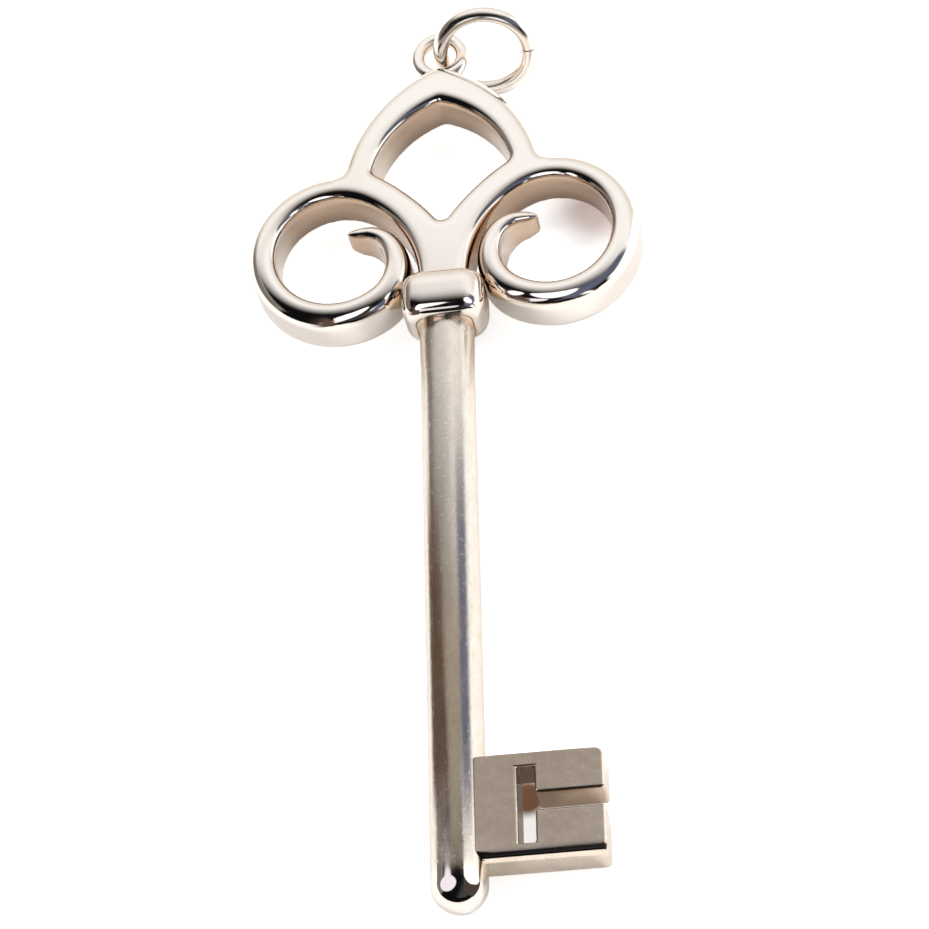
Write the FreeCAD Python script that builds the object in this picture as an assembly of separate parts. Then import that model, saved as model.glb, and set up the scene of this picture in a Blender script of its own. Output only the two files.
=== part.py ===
"""Decorative skeleton key, worn as a pendant: scrollwork bow, collar, round shank and slotted bit.

All lengths are in millimetres. While it is built, the key lies along +Y with its tip at the
origin, the bit points to +X, and the polished face looks up along +Z from the mid-plane at z = 0.
place() then moves every piece, so that z = 0 is the surface under the key, which its chain
link touches, and y = 0 is the middle of its length.
"""
import FreeCAD, Part
import math
import os

V = FreeCAD.Vector

# Shank, a round rod with a domed tip
shank_radius = 1.85
shank_length = 42.45
socket_depth = 4.0

# Collar, a rounded block that bulges like a barrel and is a little flatter at the back
collar_length = 3.6
collar_half_width = 2.86
collar_front = 3.0
collar_back = 1.85
collar_corner_radius = 1.25
collar_end_share = 0.76
collar_sections = 5

# Tenon that carries the bow, and the film of solder round it
tenon_radius = 1.15
solder_gap = 0.02

# Bow: two scrolls of half-round-faced band under a pointed arch
bow_thickness = 3.4
band_width = 1.92
scroll_radius = 6.05
scroll_spacing = 14.96
scroll_rise = 2.97
neck_width = 3.44
neck_flare_radius = 7.4
neck_joint_share = 0.2

# The roundness of the band's face, as a share of the band's width
face_round_share = 0.48

# Curl: the end of the band turns in, and thins to a blunt tip. Its centre line is three arcs,
# whose radii are shares of the band's own middle radius.
curl_start_deg = 235.6
curl_turn_start_deg = 148.0
curl_tip_start_deg = 90.0
curl_radius_shares = (0.648, 0.403, 2.3)
curl_tip_run = 1.2
curl_tip_width = 0.4
curl_taper_power = 2.0
curl_sections = 8

# Arch and its opening, from the scroll centres up
crown_rise = 14.48
arch_bulge_share = 0.13
arch_foot_deg = 95.0
opening_bottom_rise = 1.3
opening_corner_rise = 5.98
opening_top_rise = 11.28
opening_width = 9.6
opening_arch_bulge_share = 0.13
opening_v_bulge_share = 0.05
crown_point_radius = 1.7
notch_radius = 0.8
opening_v_radius = 0.5
opening_corner_radius = 0.35
opening_top_radius = 0.5

# Bit, a flat plate with a T-shaped slot that opens at its outer end
bit_reach = 9.6
bit_height = 7.18
bit_thickness = 2.9
bit_tip_distance = 2.87
bit_corner_radius = 0.6
bit_edge_radius = 0.15
slot_width = 1.12
slot_height = 5.28
slot_distance = 4.0
cross_slot_width = 1.17
cross_slot_rise = 3.2
tongue_depth = 0.85
tongue_height = 4.6
tongue_thickness = 1.6

# Hanging loop on the crown, and the chain link in it
loop_radius = 1.56
loop_wire_radius = 0.5
loop_offset = 1.2
loop_height = 0.25
link_radius = 3.11
link_wire_radius = 0.55
link_reach = 3.2
link_lift = 0.2
link_tilt_deg = 68.8

# Overrun for cutting tools, and the distance within which two places are the same
overrun = 1.0
same_place = 0.0005

collar_top = shank_length + collar_length
scroll_x = scroll_spacing / 2
scroll_y = collar_top + scroll_rise
hole_radius = scroll_radius - band_width
face_round = face_round_share * band_width
crown_y = scroll_y + crown_rise
loop_y = crown_y + loop_offset
link_height = loop_height + link_lift
overall_length = loop_y + loop_radius + loop_wire_radius


def polar(centre, radius, degrees):
    """Point at an angle on a circle in the key's plane."""
    turn = math.radians(degrees)
    return centre + V(radius * math.cos(turn), radius * math.sin(turn), 0)


def angle_of(vector):
    return math.degrees(math.atan2(vector.y, vector.x))


def mirrored(shape):
    return shape.mirror(V(0, 0, 0), V(1, 0, 0))


def mirrored_point(point):
    return V(-point.x, point.y, point.z)


def arc(a, b, c):
    return Part.Arc(a, b, c).toShape()


def line(a, b):
    return Part.makeLine(a, b)


def circle_arc(centre, radius, start, end):
    """Arc from one angle to another, through the angle half way between them."""
    return arc(polar(centre, radius, start), polar(centre, radius, (start + end) / 2),
               polar(centre, radius, end))


def bulged_arc(a, b, share):
    """Arc over a chord that rises to its left by a share of the chord's length."""
    chord = b - a
    left = V(-chord.y, chord.x, 0)
    return arc(a, (a + b) / 2 + left * share, b)


def prism(edges, low, high):
    """Solid between two heights over an outline."""
    face = Part.Face(Part.Wire(Part.__sortEdges__(edges)))
    face.translate(V(0, 0, low))
    return face.extrude(V(0, 0, high - low))


def box(low, high):
    return Part.makeBox(high.x - low.x, high.y - low.y, high.z - low.z, low)


def upright_edges(solid, places, reach):
    """Edges along Z that stand near any of the places."""
    found = []
    for edge in solid.Edges:
        a, b = edge.Vertexes[0].Point, edge.Vertexes[-1].Point
        upright = math.hypot(a.x - b.x, a.y - b.y) < same_place
        if upright and any(math.hypot(a.x - p.x, a.y - p.y) < reach for p in places):
            found.append(edge)
    return found


def flat_edges(solid, height):
    """Edges that lie wholly at one height."""
    return [e for e in solid.Edges
            if max(abs(e.BoundBox.ZMin - height), abs(e.BoundBox.ZMax - height)) < same_place]


# Points that the bow's outlines share, for the right half
scroll_centre = V(scroll_x, scroll_y, 0)
arch_foot = polar(scroll_centre, scroll_radius, arch_foot_deg)
crown_point = V(0, crown_y, 0)
opening_bottom = V(0, scroll_y + opening_bottom_rise, 0)
opening_corner = V(opening_width / 2, scroll_y + opening_corner_rise, 0)
opening_top = V(0, scroll_y + opening_top_rise, 0)
flare_x = neck_width / 2 + neck_flare_radius
flare_drop = math.sqrt((neck_flare_radius - hole_radius) ** 2 - (flare_x - scroll_x) ** 2)
flare_centre = V(flare_x, scroll_y - flare_drop, 0)
flare_top_deg = angle_of(scroll_centre - flare_centre)
flare_foot_deg = 180 - math.degrees(math.asin((collar_top - flare_centre.y) / neck_flare_radius))


def neck_foot():
    """Where the neck's right side meets the collar."""
    return V(polar(flare_centre, neck_flare_radius, flare_foot_deg).x, collar_top, 0)


def half_outline():
    """Outer outline of the bow's right half: neck, hole of the scroll, band's end, rim and arch."""
    return [circle_arc(flare_centre, neck_flare_radius, flare_foot_deg, flare_top_deg),
            circle_arc(scroll_centre, hole_radius, flare_top_deg, curl_start_deg - 360),
            line(polar(scroll_centre, hole_radius, curl_start_deg),
                 polar(scroll_centre, scroll_radius, curl_start_deg)),
            circle_arc(scroll_centre, scroll_radius, curl_start_deg - 360, arch_foot_deg),
            bulged_arc(arch_foot, crown_point, -arch_bulge_share)]


def half_opening():
    """Right half of the opening under the arch: one side of the V and one side of the point."""
    return [bulged_arc(opening_bottom, opening_corner, opening_v_bulge_share),
            bulged_arc(opening_corner, opening_top, -opening_arch_bulge_share)]


def bow_blank():
    """The bow's band in one piece, before it is divided: rounded corners, then a rounded face."""
    half = bow_thickness / 2
    right = half_outline()
    foot = [line(mirrored_point(neck_foot()), neck_foot())]
    blank = prism(right + [mirrored(e) for e in right] + foot, -half, half)
    opening = half_opening()
    blank = blank.cut(prism(opening + [mirrored(e) for e in opening], -half - overrun, half + overrun))
    for places, radius in (([crown_point], crown_point_radius),
                           ([arch_foot, mirrored_point(arch_foot)], notch_radius),
                           ([opening_bottom], opening_v_radius),
                           ([opening_corner, mirrored_point(opening_corner)], opening_corner_radius),
                           ([opening_top], opening_top_radius)):
        blank = blank.makeFillet(radius, upright_edges(blank, places, radius))
    return blank.makeFillet(face_round, [e for e in flat_edges(blank, half) if not is_cut_end(e)])


def is_cut_end(edge):
    """True for the straight edges at the foot of the neck and where a curl will continue."""
    return edge.Curve.TypeId == "Part::GeomLine" and edge.Length > band_width / 2


def path_arcs():
    """The right curl's centre line, as (centre, radius, first angle, last angle) of each arc."""
    middle = scroll_radius - band_width / 2
    bridge, turn, tip = [share * middle for share in curl_radius_shares]
    bridge_centre = polar(scroll_centre, middle - bridge, curl_start_deg)
    turn_centre = polar(bridge_centre, bridge - turn, curl_turn_start_deg)
    tip_centre = polar(turn_centre, turn - tip, curl_tip_start_deg)
    tip_end_deg = curl_tip_start_deg - math.degrees(curl_tip_run / tip)
    return [(bridge_centre, bridge, curl_start_deg, curl_turn_start_deg),
            (turn_centre, turn, curl_turn_start_deg, curl_tip_start_deg),
            (tip_centre, tip, curl_tip_start_deg, tip_end_deg)]


def path_station(arcs, distance):
    """Angle round the arc, and point, at a distance along the curl's centre line."""
    for centre, radius, start, end in arcs:
        length = radius * math.radians(start - end)
        if distance <= length or (centre, radius, start, end) == arcs[-1]:
            degrees = start - math.degrees(distance / radius)
            return degrees, polar(centre, radius, degrees)
        distance -= length


def band_section(point, degrees, width):
    """Outline of the band across its run: flat back, upright walls and a rounded face."""
    out = polar(V(0, 0, 0), 1, degrees)
    half = width / 2
    rounding = face_round_share * width
    low = -bow_thickness / 2
    shoulder = bow_thickness / 2 - face_round
    diagonal = rounding * math.sqrt(0.5)

    def at(across, height):
        return point + out * across + V(0, 0, height)

    flat = half - rounding
    top = shoulder + rounding
    return Part.Wire([
        line(at(-half, low), at(half, low)),
        line(at(half, low), at(half, shoulder)),
        arc(at(half, shoulder), at(flat + diagonal, shoulder + diagonal), at(flat, top)),
        line(at(flat, top), at(-flat, top)),
        arc(at(-flat, top), at(-flat - diagonal, shoulder + diagonal), at(-half, shoulder)),
        line(at(-half, shoulder), at(-half, low))])


def curl():
    """The right scroll's tapering end, lofted along its centre line."""
    arcs = path_arcs()
    run = sum(radius * math.radians(start - end) for _, radius, start, end in arcs)
    sections = []
    for k in range(curl_sections):
        share = k / (curl_sections - 1)
        degrees, point = path_station(arcs, run * share)
        width = band_width - (band_width - curl_tip_width) * share ** curl_taper_power
        sections.append(band_section(point, degrees, width))
    return Part.makeLoft(sections, True, False)


def arch_region():
    """Space above the joints at the arch's feet, which run from opening corner to notch."""
    slope = arch_foot - opening_corner
    far = opening_corner + slope * (scroll_radius / slope.Length)
    top = V(far.x, crown_y + overrun, 0)
    return mirrored_prism([opening_corner, far, top])


def neck_region():
    """Space of the keystone between the scroll roots. Its joints run from the neck's side to the V."""
    wall = polar(flare_centre, neck_flare_radius, (flare_foot_deg + flare_top_deg) / 2)
    fork = opening_bottom + (opening_corner - opening_bottom) * neck_joint_share
    past = (fork - wall) * neck_joint_share
    return mirrored_prism([V((wall - past).x, collar_top - overrun, 0), wall - past, fork + past])


def mirrored_prism(points):
    """Prism through the bow over an outline of points on the right and their mirror images."""
    points = points + [mirrored_point(p) for p in reversed(points)]
    sides = [line(a, b) for a, b in zip(points, points[1:] + points[:1])]
    return prism(sides, -bow_thickness, bow_thickness)


def bow_pieces():
    """Arch, neck and scrolls, cut from one blank so that their joints are flush."""
    blank = bow_blank()
    arch = blank.common(arch_region())
    neck = blank.common(neck_region())
    rest = blank.cut(arch_region()).cut(neck_region())
    right = [s for s in rest.Solids if s.CenterOfMass.x > 0]
    scroll = right[0].fuse(curl())
    tenon = Part.makeCylinder(tenon_radius, collar_length + socket_depth,
                              V(0, collar_top - collar_length - socket_depth, 0), V(0, 1, 0))
    return arch, neck.fuse(tenon), scroll, mirrored(scroll)


def rounded_block(y, scale):
    """Outline of the collar across the shank's axis, a rectangle with round corners."""
    half, front, back = collar_half_width * scale, collar_front * scale, collar_back * scale
    radius = collar_corner_radius * scale
    corners = [V(half, y, -back), V(half, y, front), V(-half, y, front), V(-half, y, -back)]
    edges = []
    for before, corner, after in zip(corners[-1:] + corners, corners, corners[1:] + corners[:1]):
        incoming = (corner - before).normalize()
        outgoing = (after - corner).normalize()
        start, end = corner - incoming * radius, corner + outgoing * radius
        middle = corner + (outgoing - incoming) * (radius - radius * math.sqrt(0.5))
        edges += [arc(start, middle, end), line(end, after - outgoing * radius)]
    return Part.Wire(edges)


def collar():
    """Barrel-shaped band with a round bore for the tenon. Its ends curve in like an ellipse's."""
    sections = []
    for k in range(collar_sections):
        turn = math.pi * k / (collar_sections - 1)
        scale = collar_end_share + (1 - collar_end_share) * math.sin(turn)
        sections.append(rounded_block(shank_length + collar_length * (1 - math.cos(turn)) / 2, scale))
    barrel = Part.makeLoft(sections, True, False)
    bore = Part.makeCylinder(tenon_radius + solder_gap, collar_length + 2 * overrun,
                             V(0, shank_length - overrun, 0), V(0, 1, 0))
    return barrel.cut(bore)


def rod():
    """The shank's plain outside: a cylinder with a domed tip."""
    straight = shank_length - shank_radius
    cylinder = Part.makeCylinder(shank_radius, straight, V(0, shank_radius, 0), V(0, 1, 0))
    return cylinder.fuse(Part.makeSphere(shank_radius, V(0, shank_radius, 0))).removeSplitter()


def tongue(clearance):
    """The bit's tongue, or with a clearance the slot that it sits in."""
    middle = bit_tip_distance + bit_height / 2
    half_height = tongue_height / 2 + clearance
    half_thickness = tongue_thickness / 2 + clearance
    return box(V(shank_radius - tongue_depth - clearance, middle - half_height, -half_thickness),
               V(shank_radius + overrun, middle + half_height, half_thickness))


def shank():
    socket_end = shank_length - socket_depth - solder_gap
    socket = Part.makeCylinder(tenon_radius + solder_gap, socket_depth + overrun,
                               V(0, socket_end, 0), V(0, 1, 0))
    return rod().cut(socket).cut(tongue(solder_gap))


def bit():
    """Plate coped to the rod, with its tongue, T-shaped slot and rounded outer corners."""
    half = bit_thickness / 2
    low, high = bit_tip_distance, bit_tip_distance + bit_height
    plate = box(V(0, low, -half), V(bit_reach, high, half))
    corners = [V(bit_reach, low, 0), V(bit_reach, high, 0)]
    plate = plate.makeFillet(bit_corner_radius, upright_edges(plate, corners, bit_corner_radius))
    plate = plate.makeFillet(bit_edge_radius, rim_edges(plate, half))
    plate = plate.cut(rod()).fuse(tongue(0))
    middle = (low + high) / 2
    slot_low = middle - slot_height / 2
    deep = half + overrun
    upright = box(V(slot_distance, slot_low, -deep),
                  V(slot_distance + slot_width, slot_low + slot_height, deep))
    cross_middle = low + cross_slot_rise + cross_slot_width / 2
    cross = box(V(slot_distance, cross_middle - cross_slot_width / 2, -deep),
                V(bit_reach + overrun, cross_middle + cross_slot_width / 2, deep))
    return plate.cut(upright.fuse(cross))


def rim_edges(plate, half):
    """Edges round the plate's two faces, but not those that the rod replaces."""
    rims = flat_edges(plate, half) + flat_edges(plate, -half)
    return [e for e in rims if e.BoundBox.XMax > shank_radius]


def hanging_loop(arch):
    """Round-wire loop, coped to the arch's crown."""
    ring = Part.makeTorus(loop_radius, loop_wire_radius, V(0, loop_y, loop_height), V(0, 0, 1))
    return largest(ring.cut(arch))


def bail_link():
    """Round-wire ring threaded through the loop, leaning to one side."""
    tilt = math.radians(link_tilt_deg)
    return Part.makeTorus(link_radius, link_wire_radius, V(link_reach, loop_y, link_height),
                          V(0, -math.sin(tilt), math.cos(tilt)))


def largest(shape):
    return max(shape.Solids, key=lambda s: s.Volume)


def place(shape):
    """Move a piece from the building position to the resting one, on the lowest of the pieces."""
    link_drop = link_radius * math.sin(math.radians(link_tilt_deg)) + link_wire_radius - link_height
    lowest = max(link_drop, collar_back, shank_radius, bow_thickness / 2)
    return shape.translated(V(0, -overall_length / 2, lowest))


def main():
    os.makedirs("parts", exist_ok=True)
    arch, neck, scroll_right, scroll_left = bow_pieces()
    pieces = {
        "bow_arch": arch,
        "scroll_left": scroll_left,
        "scroll_right": scroll_right,
        "neck": neck,
        "collar": collar(),
        "shank": shank(),
        "bit": bit(),
        "hanging_loop": hanging_loop(arch),
        "bail_link": bail_link(),
    }
    for name, shape in pieces.items():
        solid = place(largest(shape))
        print(name, "solids", len(shape.Solids), "valid", solid.isValid(),
              "volume", round(solid.Volume, 3))
        solid.exportStep("parts/" + name + ".step")


main()
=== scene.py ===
"""Dresses the decorative skeleton key: polished scrollwork bow, collar, satin shank and bit,
hanging loop and chain ring. Pieces are modelled in millimetres as the key lies along +Y with its
tip at y = 0, and settle() then shrinks each one to metres and moves it to the frame's place.
"""
import bpy
import bmesh
import math
from mathutils import Matrix, Vector


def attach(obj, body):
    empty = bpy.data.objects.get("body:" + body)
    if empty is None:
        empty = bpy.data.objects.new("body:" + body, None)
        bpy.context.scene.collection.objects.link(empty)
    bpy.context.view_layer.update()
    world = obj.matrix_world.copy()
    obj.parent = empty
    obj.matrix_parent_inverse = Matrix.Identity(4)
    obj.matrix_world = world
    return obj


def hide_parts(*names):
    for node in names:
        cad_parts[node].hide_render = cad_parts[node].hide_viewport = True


bl_info = {
    "name": "Skeleton key pendant",
    "version": (1, 0, 0),
    "blender": (4, 5, 0),
    "location": "3D View > Sidebar > Key",
    "description": "Models and finishes a polished skeleton key pendant",
    "category": "Add Mesh",
}

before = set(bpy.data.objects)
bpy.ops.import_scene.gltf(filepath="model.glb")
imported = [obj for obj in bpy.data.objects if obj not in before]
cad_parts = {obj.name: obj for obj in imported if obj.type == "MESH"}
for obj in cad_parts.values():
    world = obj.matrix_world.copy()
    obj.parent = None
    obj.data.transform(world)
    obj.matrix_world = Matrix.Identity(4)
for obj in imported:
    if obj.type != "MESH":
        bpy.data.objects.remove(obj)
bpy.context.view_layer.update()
MM = 0.001
KEY, LINK = "key", "link"

# Where the key's own millimetres lie in the frame: half its length, and its height off the table
HALF_LENGTH = 33.38
LIFT = 2.9995


def length(name, description, default):
    return bpy.props.FloatProperty(name=name, description=description, default=default, min=0.0)


def angle(name, description, degrees):
    return bpy.props.FloatProperty(name=name, description=description,
                                   default=math.radians(degrees), subtype="ANGLE", unit="ROTATION")


def tint(name, description, default):
    return bpy.props.FloatVectorProperty(name=name, description=description, default=default,
                                         subtype="COLOR", size=3, min=0.0, max=1.0)


class BowSizes(bpy.types.PropertyGroup):
    """Sizes of the scrollwork bow, in millimetres."""
    thickness: length("Thickness", "Height of the bow from its back to its crest", 3.4)
    band: length("Band", "Width of the scroll's band", 1.92)
    shoulder: length("Shoulder", "Radius of the band's broad outer shoulders", 1.08)
    rounding: length("Rounding", "Radius of the shoulders round the holes", 0.72)
    scroll_radius: length("Scroll radius", "Outer radius of a scroll", 6.05)
    scroll_x: length("Scroll offset", "From the key's middle to a scroll's centre", 7.48)
    scroll_y: length("Scroll height", "From the tip to the scrolls' centres", 49.02)
    crown: length("Crown", "From the scrolls' centres to the arch's point", 14.48)
    arch_bulge: length("Arch bulge", "Rise of the arch's sides as a share of their length", 0.13)
    low_bulge: length("Low bulge", "Rise of the hole's lower sides as a share of their length", 0.05)
    hole_bottom: length("Hole bottom", "From the scrolls' centres to the arch hole's low point", 1.3)
    hole_side: length("Hole side", "From the scrolls' centres to the hole's side corners", 5.98)
    hole_top: length("Hole top", "From the scrolls' centres to the hole's point", 11.28)
    hole_half: length("Hole half width", "From the middle to the hole's side corner", 4.8)
    foot_y: length("Foot", "From the tip to where the neck leaves the collar", 46.05)
    neck_width: length("Neck", "Width of the neck at the collar", 3.44)
    flare_radius: length("Flare", "Radius of the neck's sides", 7.4)
    neck_sunk: length("Sunk neck", "How far the neck reaches into the collar", 0.8)
    shoulder_at: angle("Shoulder place", "Where the arch's foot stands on the scroll's circle", 95)
    shoulder_soft: length("Shoulder corner", "Radius where the arch meets the scroll", 0.8)
    crown_soft: length("Crown corner", "Radius of the arch's point", 1.7)
    hole_soft: length("Hole corner", "Radius of the arch hole's top and bottom corners", 0.5)
    hole_side_soft: length("Hole side corner", "Radius of the arch hole's side corners", 0.35)
    voxel: length("Voxel", "Size of the remesh that joins the bow's pieces", 0.115)
    polish_passes: bpy.props.IntProperty(name="Polish passes", default=16, min=1,
                                         description="How often the remeshed bow is smoothed")
    curl_start: angle("Curl start", "Where the curl leaves the scroll's circle", 235.6)
    curl_turn: angle("Curl turn", "Where the curl's second arc begins", 148)
    curl_last: angle("Curl end", "Where the curl's last, nearly straight arc begins", 90)
    curl_radii: bpy.props.FloatVectorProperty(
        name="Curl radii", size=3, default=(0.648, 0.403, 2.3),
        description="Radii of the curl's three arcs as shares of the scroll's middle radius")
    curl_reach: length("Curl reach", "Length of the curl's last arc", 1.2)
    curl_tip: length("Curl tip", "Width of the curl at its tip", 0.7)
    curl_drop: length("Curl drop", "Share of its height that the curl loses at its tip", 0.4)


class RingSizes(bpy.types.PropertyGroup):
    """Sizes of the hanging loop and the chain ring, in millimetres."""
    loop_radius: length("Loop radius", "Radius of the loop to the middle of its wire", 1.56)
    loop_wire: length("Loop wire", "Radius of the loop's wire", 0.5)
    loop_y: length("Loop height", "From the tip to the loop's centre", 64.7)
    loop_z: length("Loop level", "Height of the loop over the key's mid-plane", 0.25)
    ring_radius: length("Ring radius", "Radius of the chain ring to the middle of its wire", 3.11)
    ring_wire: length("Ring wire", "Radius of the chain ring's wire", 0.55)
    ring_x: length("Ring offset", "From the loop's centre to the chain ring's", 3.2)
    ring_z: length("Ring level", "Height of the chain ring's centre over the mid-plane", 0.45)
    foot_depth: length("Foot depth", "How far the loop's solder foot reaches into the arch", 0.2)
    foot_spread: bpy.props.FloatProperty(name="Foot spread", default=1.15, min=1.0,
                                         description="Growth of the solder foot towards the arch")
    seam_width: length("Seam width", "Width of the groove where the chain ring is closed", 0.16)
    seam_depth: length("Seam depth", "Depth of the groove where the chain ring is closed", 0.05)
    ring_tilt: angle("Ring tilt", "Lean of the chain ring from lying flat", 68.8)


class RodSizes(bpy.types.PropertyGroup):
    """Sizes of the collar, shank and bit, in millimetres."""
    shank_radius: length("Shank radius", "Radius of the round shank", 1.85)
    polished_tip: length("Polished tip", "Height from the tip up to which it is mirror bright", 2.0)
    shank_length: length("Shank length", "From the tip to the collar", 42.45)
    collar_length: length("Collar length", "Length of the collar along the shank", 3.6)
    collar_half: length("Collar half width", "Half the collar's width", 2.86)
    collar_front: length("Collar front", "Collar's height over the mid-plane", 3.0)
    collar_back: length("Collar back", "Collar's depth under the mid-plane", 1.85)
    collar_corner: length("Collar corner", "Radius of the collar's corners", 1.4)
    collar_end: length("Collar end", "Size of the collar's ends as a share of its middle", 0.66)
    collar_rim: length("Collar rim", "Width of the flat rim round the collar's ends", 0.10)
    bit_root: length("Bit root", "From the shank's middle to the plate's hidden inner end", 1.2)
    bit_reach: length("Bit reach", "From the shank's middle to the bit's outer end", 9.6)
    bit_low: length("Bit low side", "From the tip to the bit's low side", 2.87)
    bit_height: length("Bit height", "Length of the bit along the shank", 7.18)
    bit_thickness: length("Bit thickness", "Thickness of the bit's plate", 2.9)
    bit_corner: length("Bit corner", "Radius of the bit's high outer corner", 0.6)
    bit_edge: length("Bit edge", "Width of the bevels on the bit's edges", 0.22)
    bit_round: length("Bit rounding", "Radius of the bit's low upper edge", 0.8)
    slot_x: length("Slot place", "From the shank's middle to the slot's bar", 4.0)
    slot_width: length("Slot width", "Width of the slot's bar", 1.12)
    slot_height: length("Slot height", "Length of the slot's bar", 5.28)
    cross_rise: length("Cross slot place", "From the bit's low side to the cross slot", 3.2)
    cross_width: length("Cross slot width", "Width of the cross slot", 1.17)


class Finish(bpy.types.PropertyGroup):
    """Colours and gloss of the silver, and the colour of its painted shade."""
    silver: tint("Silver", "Colour of the polished silver", (0.95, 0.89, 0.82))
    tarnish: tint("Tarnish", "Colour of the thin film on the silver", (0.80, 0.68, 0.55))
    # Painted shade: brown laid on the silver where parts stand close and on the hole walls that face
    # towards the tip, darker towards the table
    painted_shade: tint("Hollow", "Colour of the unpolished walls in the holes", (0.66, 0.48, 0.34))
    painted_shade_from: bpy.props.FloatVectorProperty(
        name="Hollow range", size=3, default=(48.6, 50.0, 61.0),
        description="Heights over the tip where the raw walls begin, are fully raw, and end")
    satin: tint("Satin", "Colour of the satin shank", (0.92, 0.84, 0.74))
    bit: tint("Bit", "Colour of the satin bit", (0.93, 0.82, 0.68))
    polish: bpy.props.FloatProperty(name="Polish", description="Roughness of the polished silver",
                                    default=0.06, min=0.0, max=1.0)
    tumbled: bpy.props.FloatProperty(name="Tumbled", min=0.0, max=1.0, default=0.10,
                                     description="Roughness that the loop and ring have over it")
    grain: bpy.props.FloatProperty(name="Grain", description="Roughness of the satin shank",
                                   default=0.18, min=0.0, max=1.0)
    bit_grain: bpy.props.FloatProperty(name="Bit grain", description="Roughness of the satin bit",
                                       default=0.50, min=0.0, max=1.0)


def deselect():
    if bpy.context.object and bpy.context.object.mode != "OBJECT":
        bpy.ops.object.mode_set(mode="OBJECT")
    bpy.ops.object.select_all(action="DESELECT")


def only(*pieces):
    """Select these objects and nothing else; the first one is active."""
    deselect()
    for piece in pieces:
        piece.select_set(True)
    bpy.context.view_layer.objects.active = pieces[0]


def new_outline(name, points):
    """A flat face whose corners are the given points, from a circle with as many corners."""
    deselect()
    bpy.ops.mesh.primitive_circle_add(vertices=len(points), radius=1, fill_type="NGON")
    piece = bpy.context.object
    piece.name = name
    for vertex, point in zip(piece.data.vertices, points):
        vertex.co = point
    return piece


def in_edit(piece, pick=None, kind="VERT"):
    """Enter edit mode with only those vertices, edges or faces selected that pick() accepts."""
    only(piece)
    bpy.ops.object.mode_set(mode="EDIT")
    bpy.ops.mesh.select_mode(type=kind)
    bpy.ops.mesh.select_all(action="DESELECT")
    mesh = bmesh.from_edit_mesh(piece.data)
    parts = {"VERT": mesh.verts, "EDGE": mesh.edges, "FACE": mesh.faces}[kind]
    for part in parts:
        if pick is None or pick(part):
            part.select_set(True)
    mesh.select_flush_mode()
    bmesh.update_edit_mesh(piece.data)


def out_of_edit():
    bpy.ops.object.mode_set(mode="OBJECT")


def new_wire(name, points):
    """The outline without its face, in edit mode and all of it selected."""
    piece = new_outline(name, points)
    in_edit(piece)
    bpy.ops.mesh.delete(type="ONLY_FACE")
    bpy.ops.mesh.select_all(action="SELECT")
    return piece


def extrude(*way):
    bpy.ops.mesh.extrude_region_move(TRANSFORM_OT_translate={"value": way})


def outward(piece, merge=0.0005):
    """Merge doubles and turn all faces outwards."""
    in_edit(piece)
    bpy.ops.mesh.remove_doubles(threshold=merge)
    bpy.ops.mesh.select_all(action="SELECT")
    bpy.ops.mesh.normals_make_consistent(inside=False)
    out_of_edit()


def modify(piece, kind, **settings):
    """Add a modifier with these settings and apply it."""
    only(piece)
    modifier = piece.modifiers.new(kind.title(), kind)
    for name, value in settings.items():
        setattr(modifier, name, value)
    bpy.ops.object.modifier_apply(modifier=modifier.name)


def settle(piece, name, body, material, slot, *nodes):
    """Bring a finished piece from its own millimetres to the frame, dress it and hang it there."""
    if not piece.data.polygons:
        raise RuntimeError(name + " came out without faces")
    only(piece)
    piece.scale = (MM, MM, MM)
    piece.location = (0, -HALF_LENGTH * MM, LIFT * MM)
    bpy.ops.object.transform_apply(location=True, rotation=True, scale=True)
    piece.name = name
    piece.data.name = name
    piece.data.materials.clear()
    piece.data.materials.append(material)
    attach(piece, body)
    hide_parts(*nodes)


def smooth(piece, sharp_degrees=None):
    only(piece)
    if sharp_degrees is None:
        bpy.ops.object.shade_smooth()
    else:
        bpy.ops.object.shade_smooth_by_angle(angle=math.radians(sharp_degrees))


def on_circle(centre, radius, degrees):
    turn = math.radians(degrees)
    return Vector((centre[0] + radius * math.cos(turn), centre[1] + radius * math.sin(turn), 0))


def circle_points(centre, radius, start, end, step=0.12):
    """Points along an arc, its first one left out."""
    count = max(3, math.ceil(abs(math.radians(end - start)) * radius / step))
    return [on_circle(centre, radius, start + (end - start) * k / count)
            for k in range(1, count + 1)]


def bulged_points(a, b, share, step=0.12):
    """Points along an arc that rises to the left of its chord, its first one left out."""
    chord = b - a
    reach = chord.length
    rise = abs(share) * reach
    radius = (reach * reach / 4 + rise * rise) / (2 * rise)
    left = Vector((-chord.y, chord.x, 0)).normalized() * math.copysign(1, share)
    centre = (a + b) / 2 - left * (radius - rise)
    first = math.degrees(math.atan2(a.y - centre.y, a.x - centre.x))
    last = math.degrees(math.atan2(b.y - centre.y, b.x - centre.x))
    turn = (last - first + 180) % 360 - 180
    return circle_points(centre, radius, first, first + turn, step)


def rounded(points, place, radius, count=10):
    """The outline with its corner nearest to a place rounded off by an arc of this radius, which
    has this many chords."""
    k = min(range(len(points)), key=lambda i: (points[i] - place).length)
    corner = points[k]
    before = (points[k - 1] - corner).normalized()
    after = (points[(k + 1) % len(points)] - corner).normalized()
    half = before.angle(after) / 2
    cut = radius / math.tan(half)
    kept = [p for p in points if (p - corner).length > cut]
    ahead = next((i for i, p in enumerate(kept) if points.index(p) > k), len(kept))
    start, end = corner + before * cut, corner + after * cut
    centre = corner + (before + after).normalized() * (radius / math.sin(half))
    first, last = start - centre, end - centre
    arc = [centre + first.slerp(last, i / count).normalized() * radius for i in range(count + 1)]
    return kept[:ahead] + arc + kept[ahead:]


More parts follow.
